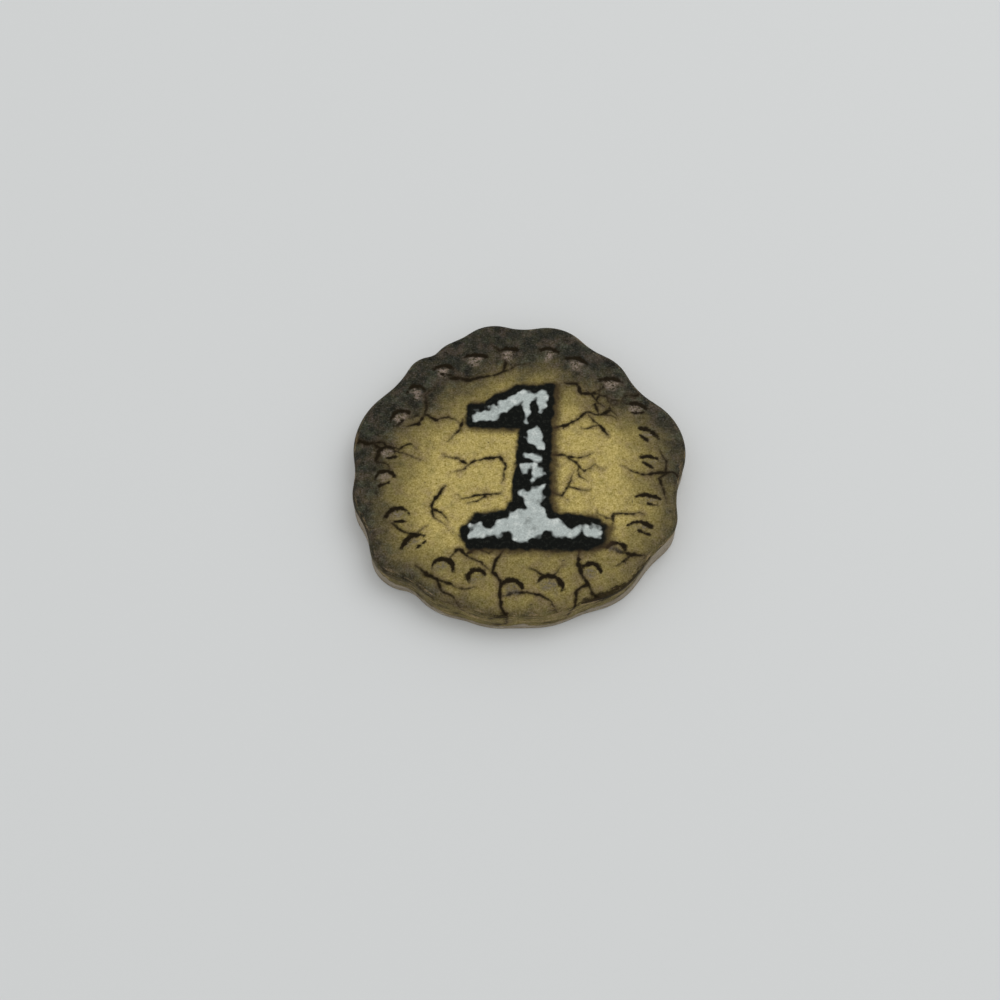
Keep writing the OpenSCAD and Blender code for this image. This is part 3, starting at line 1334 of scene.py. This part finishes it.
@dataclass
class PrintedSheet(TokenPiece):
    """What both sheets share: the picture, the bare paper of their cut edge and the map."""

    design: PrintDesign = PrintDesign()
    cut_bare: float = 1.5
    chart_half: float = 0.49
    corner_place: float = 0.085
    corner_radius: float = 0.06
    corner_share: float = 1.05

    def lay_print(self, piece: bpy.types.Object, loft: Loft, art: Array, rim: Array, bare: Array) -> None:
        """Gives a sheet the fields that its finish reads.

        Args:
            piece: the sheet.
            loft: its surface.
            art: place of each point on the flat sheet.
            rim: distance of each point in from the rim.
            bare: how bare of print each ring is.
        """
        values = np.zeros(len(loft.points))
        values[loft.ring_ids] = bare[:, None]
        for name, given in (self.design.fields(art, rim) | {"bare": values}).items():
            kind, key = ("FLOAT", "value") if given.ndim == 1 else ("FLOAT_VECTOR", "vector")
            layer = piece.data.attributes.new(name, kind, "POINT")
            layer.data.foreach_set(key, given.astype(np.float32).ravel())

    def lay_chart(self, piece: bpy.types.Object, loft: Loft, art: Array, hidden: Array) -> None:
        """Gives a sheet its map: the print fills it, and the unseen side lies small in a corner.

        Args:
            piece: the sheet.
            loft: its surface.
            art: place of each point on the flat sheet.
            hidden: True at each face corner of the unseen side.
        """
        corner = loft.corner_ids()
        shown = 0.5 + self.chart_half * art / np.abs(art).max()
        depth = np.zeros((len(loft.points), 1))
        depth[loft.ring_ids, 0] = np.linspace(0, 1, len(loft.ring_ids))[:, None]
        flat = loft.points[:, :2]
        ray = flat / np.maximum(np.linalg.norm(flat, axis=1, keepdims=True), TINY)
        tiny = self.corner_place + self.corner_radius * ray * (self.corner_share - depth)
        places = np.where(hidden[:, None], tiny[corner], shown[corner])
        layer = piece.data.uv_layers.new(name="OFBake")
        layer.data.foreach_set("uv", places.astype(np.float32).ravel())


@dataclass
class FrontSheet(PrintedSheet):
    """Printed front sheet: a fine flat face, the rolled edge and the rim dragged down the side."""

    wall_steps: int = 10
    lip: float = 0.05
    lip_power: int = 8
    press: float = 0.03
    press_power: int = 12
    cockle: float = 0.006
    cockle_waves: tuple[Pair, Pair] = ((0.55, 0.3), (-0.2, 0.4))
    cockle_phase: float = 1.0
    torn_bare: float = 1.15
    finish: PrintFinish = PrintFinish("front_print")

    def build(self) -> bpy.types.Object:
        """Builds the sheet and lays the print on it.

        Returns:
            The piece.
        """
        layers, paper = self.layers, self.layers.paper
        over_inset, over_z = self.roll(0, layers.face)
        wall_top = over_z[-1]
        share = np.linspace(0, 1, self.wall_steps + 1)[1:, None]
        wall_z = wall_top + (self.line - wall_top) * share
        wall_inset = self.lip * share**self.lip_power * np.ones(self.columns)
        under_inset, under_z = self.roll(paper, layers.face - paper)
        inset = np.vstack([over_inset, wall_inset, self.level(paper), under_inset[::-1]])
        z = np.vstack([over_z, wall_z, self.line[None], under_z[::-1]])
        loft = Loft(self.outline, inset, z, upper=Cap.GRID)
        shown = len(over_inset) + len(wall_inset)
        art, rim = self._flatten(loft, len(over_inset), wall_top - wall_z)
        self._settle(loft)
        piece = self.join(loft, "front_sheet", "front_print_sheet", "front_print", self.finish)
        bare = np.where(np.arange(len(inset)) < shown, 0, self.cut_bare)
        bare[shown - 1] = self.torn_bare
        self.lay_print(piece, loft, art, rim, bare)
        self.lay_chart(piece, loft, art, loft.corner_rings() >= shown - 1)
        return piece

    def _flatten(self, loft: Loft, rolled: int, down: Array) -> tuple[Array, Array]:
        """Where each point lay on the flat sheet, before the die bent it over the edge.

        Past the flat face, a column's points lie on along its ray by the length of the bend.

        Args:
            loft: the sheet's surface.
            rolled: how many rings the rolled edge has.
            down: depths of the wall's rings below the roll.

        Returns:
            Places on the flat sheet, and distances in from the rim.
        """
        art = loft.points[:, :2].copy()
        radius = self.outline.roll_radius
        bend = np.linspace(0, radius * TURN / 4, rolled)[:, None] * np.ones(self.columns)
        past = np.vstack([bend, bend[-1] + down])
        flat = np.linalg.norm(self.outline.ring(radius), axis=1)
        art[loft.ring_ids[: len(past)]] = (flat + past)[..., None] * self.outline.rays
        heading = np.arctan2(art[:, 1], art[:, 0])
        edge = np.interp(heading, self.outline.turn, flat + radius, period=TURN)
        return art, edge - np.linalg.norm(art, axis=1)

    def _settle(self, loft: Loft) -> None:
        """Lets the face down a little: most at the edge, where the die pressed, with a faint cockle.

        The fall is a high power of the share of the way out, and the cockle two crossed waves.
        It runs out over the height of the rolled edge.

        Args:
            loft: the sheet's surface.
        """
        x, y, z = loft.points.T
        out = np.hypot(x, y) / np.abs(self.outline.edge).max()
        along, across = (p * x + q * y for p, q in self.cockle_waves)
        wave = 1 + np.sin(along + self.cockle_phase) * np.cos(across)
        fall = self.press * out**self.press_power + self.cockle * wave
        radius = self.outline.roll_radius
        loft.points[:, 2] -= fall * np.clip((z - self.layers.face + radius) / radius, 0, 1)


@dataclass
class FrontPaste(TokenPiece):
    """Paste film between the front sheet and the core, down to the same torn line."""

    roll_steps: int = 4
    finish: PasteFinish = PasteFinish()

    def build(self) -> bpy.types.Object:
        """Builds the film as a thin rolled layer.

        Returns:
            The piece.
        """
        paper, paste = self.layers.paper, self.layers.paste
        over_inset, over_z = self.roll(paper, self.layers.paste_top)
        under_inset, under_z = self.roll(paper + paste, self.layers.core_top)
        inset = np.vstack([over_inset, self.level(paper, paper + paste), under_inset[::-1]])
        z = np.vstack([over_z, self.level(self.line, self.line), under_z[::-1]])
        loft = Loft(self.outline, inset, z)
        return self.join(loft, "front_paste", "front_paste_film", "paste", self.finish)


@dataclass
class CoreBoard(TokenPiece):
    """Greyboard core: drawn in under the front sheet, with a fibrous cut edge below it."""

    roll_steps: int = 4
    wall_steps: int = 12
    recess: float = 0.03
    fuzz: float = 0.016
    fibres: Ripple = Ripple(11, 60, 300, 0.3)
    fibre_slant: float = 0.9
    tangle: Ripple = Ripple(12, 5, 60, 0.5)
    tangle_swing: float = 3.0
    ply_swing: float = 9.0
    waves: Ripple = Ripple(13, 12, 60, 0.5)
    wave_slant: float = 0.2
    finish: GreyboardFinish = GreyboardFinish()

    def build(self) -> bpy.types.Object:
        """Builds the board; the cut edge stands back a little and is rough with plies and fibres.

        Returns:
            The piece.
        """
        layers = self.layers
        under = layers.paper + layers.paste
        over_inset, over_z = self.roll(under, layers.core_top)
        share = np.linspace(0, 1, self.wall_steps + 1)[:, None]
        wall_z = self.line + (layers.core_low - self.line) * share
        inset = np.vstack([over_inset, self.level(under), self._cut_edge(share)])
        z = np.vstack([over_z, self.line[None], wall_z])
        loft = Loft(self.outline, inset, z)
        return self.join(loft, "greyboard_core", "core_board", "greyboard", self.finish)

    def _cut_edge(self, share: Array) -> Array:
        """Inset of the cut edge: fibres that shift from ply to ply, over slow ripples.

        Args:
            share: share of the way down the wall, for each ring.

        Returns:
            One inset for each point.
        """
        turn = self.outline.turn
        swing = np.cos(self.ply_swing * share + self.tangle_swing * self.tangle.at(turn))
        fine = self.fibres.at(turn + self.fibre_slant * share) * swing
        slow = self.waves.at(turn + self.wave_slant * share)
        return self.recess + np.clip(self.fuzz * (fine + slow) / 2, -self.recess, self.recess)


@dataclass
class BackPaste(TokenPiece):
    """Paste film between the core and the back sheet."""

    recess: float = 0.045
    squeeze: float = 0.012
    squeeze_wave: Ripple = Ripple(21, 8, 160, 0.5)
    finish: PasteFinish = PasteFinish("back_paste_film")

    def build(self) -> bpy.types.Object:
        """Builds the film as a flat layer that stands back a little from the cut edge.

        Returns:
            The piece.
        """
        edge = self.recess + self.squeeze * np.clip(self.squeeze_wave.at(self.outline.turn), -1, 1)
        z = self.level(self.layers.core_low, self.layers.back_sheet)
        loft = Loft(self.outline, self.level(edge, edge), z)
        return self.join(loft, "back_paste", "back_paste_film", "paste", self.finish)


@dataclass
class BackSheet(PrintedSheet):
    """Printed back sheet, cut square with the core and pressed in a little at its lower edge."""

    columns: int = 832
    nip_steps: int = 4
    trim: float = 0.015
    nip: float = 0.07
    finish: PrintFinish = PrintFinish("back_print")

    def build(self) -> bpy.types.Object:
        """Builds the sheet, with the print laid to be read from below.

        Returns:
            The piece.
        """
        angle = np.linspace(0, TURN / 4, self.nip_steps + 1)
        inset = self.level(self.trim, *(self.trim + self.nip * (1 - np.cos(angle))))
        z = self.level(self.layers.back_sheet, *(self.nip * (1 - np.sin(angle))))
        loft = Loft(self.outline, inset, z, lower=Cap.GRID)
        art = loft.points[:, :2] * np.array([-1, 1])
        heading = np.arctan2(loft.points[:, 1], loft.points[:, 0])
        reach = np.linalg.norm(self.outline.edge, axis=1)
        around = np.arctan2(self.outline.edge[:, 1], self.outline.edge[:, 0])
        rim = np.interp(heading, around, reach, period=TURN) - np.linalg.norm(art, axis=1)
        piece = self.join(loft, "back_sheet", "back_print_sheet", "back_print", self.finish)
        self.lay_print(piece, loft, art, rim, np.where(np.arange(len(inset)) < 2, self.cut_bare, 0))
        self.lay_chart(piece, loft, art, loft.corner_rings() < 1)
        return piece


@dataclass
class Studio:
    """Pale floor, soft light and the camera at the photograph's view."""

    floor: Colour = srgb(208, 210, 210)
    floor_half: float = 1500.0
    camera_place: Triple = (-1.437, -56.725, 102.3)
    camera_tilt: float = 28.2
    clip_start: float = 5.0
    focal_pixels: float = 1570.0
    frame_pixels: float = 1000.0
    sensor: float = 36.0
    sky_share: float = 0.78
    lamp_place: Triple = (200.0, 165.0, 400.0)
    lamp_width: float = 400.0

    def build(self) -> None:
        """Sets up everything that isn't part of the token."""
        self._camera()
        self._floor()
        self._lamp()
        self._sky()
        bpy.context.scene.view_settings.view_transform = "Standard"

    def _camera(self) -> None:
        """Places the camera: the lens follows from the focal length in pixels of the frame."""
        data = bpy.data.cameras.new("camera")
        data.sensor_width = self.sensor
        data.lens = self.focal_pixels / self.frame_pixels * self.sensor
        data.clip_start = self.clip_start * MM
        camera = bpy.data.objects.new("camera", data)
        camera.location = [c * MM for c in self.camera_place]
        camera.rotation_euler = (math.radians(self.camera_tilt), 0, 0)
        bpy.context.scene.collection.objects.link(camera)
        bpy.context.scene.camera = camera

    def _floor(self) -> None:
        """Lays a plain pale floor of one square."""
        half = self.floor_half * MM
        corners = [(-half, -half, 0), (half, -half, 0), (half, half, 0), (-half, half, 0)]
        mesh = bpy.data.meshes.new("floor")
        mesh.from_pydata(corners, [], [(0, 1, 2, 3)])
        floor = bpy.data.objects.new("floor", mesh)
        material, g = new_graph("floor")
        g.surface({"Base Color": self.floor, "Roughness": 0.9, "Specular IOR Level": 0.1})
        mesh.materials.append(material)
        bpy.context.scene.collection.objects.link(floor)

    def _lamp(self) -> None:
        """Hangs one square softbox that gives what the sky leaves of a plain level.

        Light of pi on a surface shows its colour as written. A lamp of power P and area A at a
        distance d gives the floor P over (pi d squared plus A), times the sine of its height.
        """
        place = np.array(self.lamp_place) * MM
        away = np.linalg.norm(place)
        data = bpy.data.lights.new("softbox", "AREA")
        data.size = self.lamp_width * MM
        level = (1 - self.sky_share) * math.pi
        data.energy = level * (math.pi * away**2 + data.size**2) * away / place[2]
        lamp = bpy.data.objects.new("softbox", data)
        lamp.location = place
        lamp.rotation_euler = (-lamp.location).to_track_quat("-Z", "Y").to_euler()
        bpy.context.scene.collection.objects.link(lamp)

    def _sky(self) -> None:
        """Lights evenly from all round, and shows the floor's colour behind the token."""
        world = bpy.data.worlds.new("studio")
        world.use_nodes = True
        bpy.context.scene.world = world
        g = Graph(world.node_tree)
        path = g.node("ShaderNodeLightPath", {}, {}).outputs
        seen = Value(g, path["Is Camera Ray"]).most(Value(g, path["Is Glossy Ray"]))
        seen = seen.most(Value(g, path["Is Transmission Ray"]))
        light = g.node("ShaderNodeBackground", {}, {"Color": (1, 1, 1, 1), "Strength": self.sky_share})
        shown = g.node("ShaderNodeBackground", {}, {"Color": self.floor, "Strength": 1.0})
        both = {"Fac": seen, 1: light.outputs[0], 2: shown.outputs[0]}
        blend = g.node("ShaderNodeMixShader", {}, both)
        g.node("ShaderNodeOutputWorld", {}, {"Surface": blend.outputs[0]})


def main() -> None:
    """Builds the token's pieces and the studio, and logs how many points each piece has."""
    logging.basicConfig(level=logging.INFO, format="%(message)s")
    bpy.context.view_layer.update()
    layers = Layers.from_frame()
    drag = DragLine(layers)
    for kind in (FrontSheet, FrontPaste, CoreBoard, BackPaste, BackSheet):
        piece = kind(layers, drag).build()
        log.info("built %s: %d points", piece.name, len(piece.data.vertices))
    Studio().build()


if __name__ == "__main__":
    main()
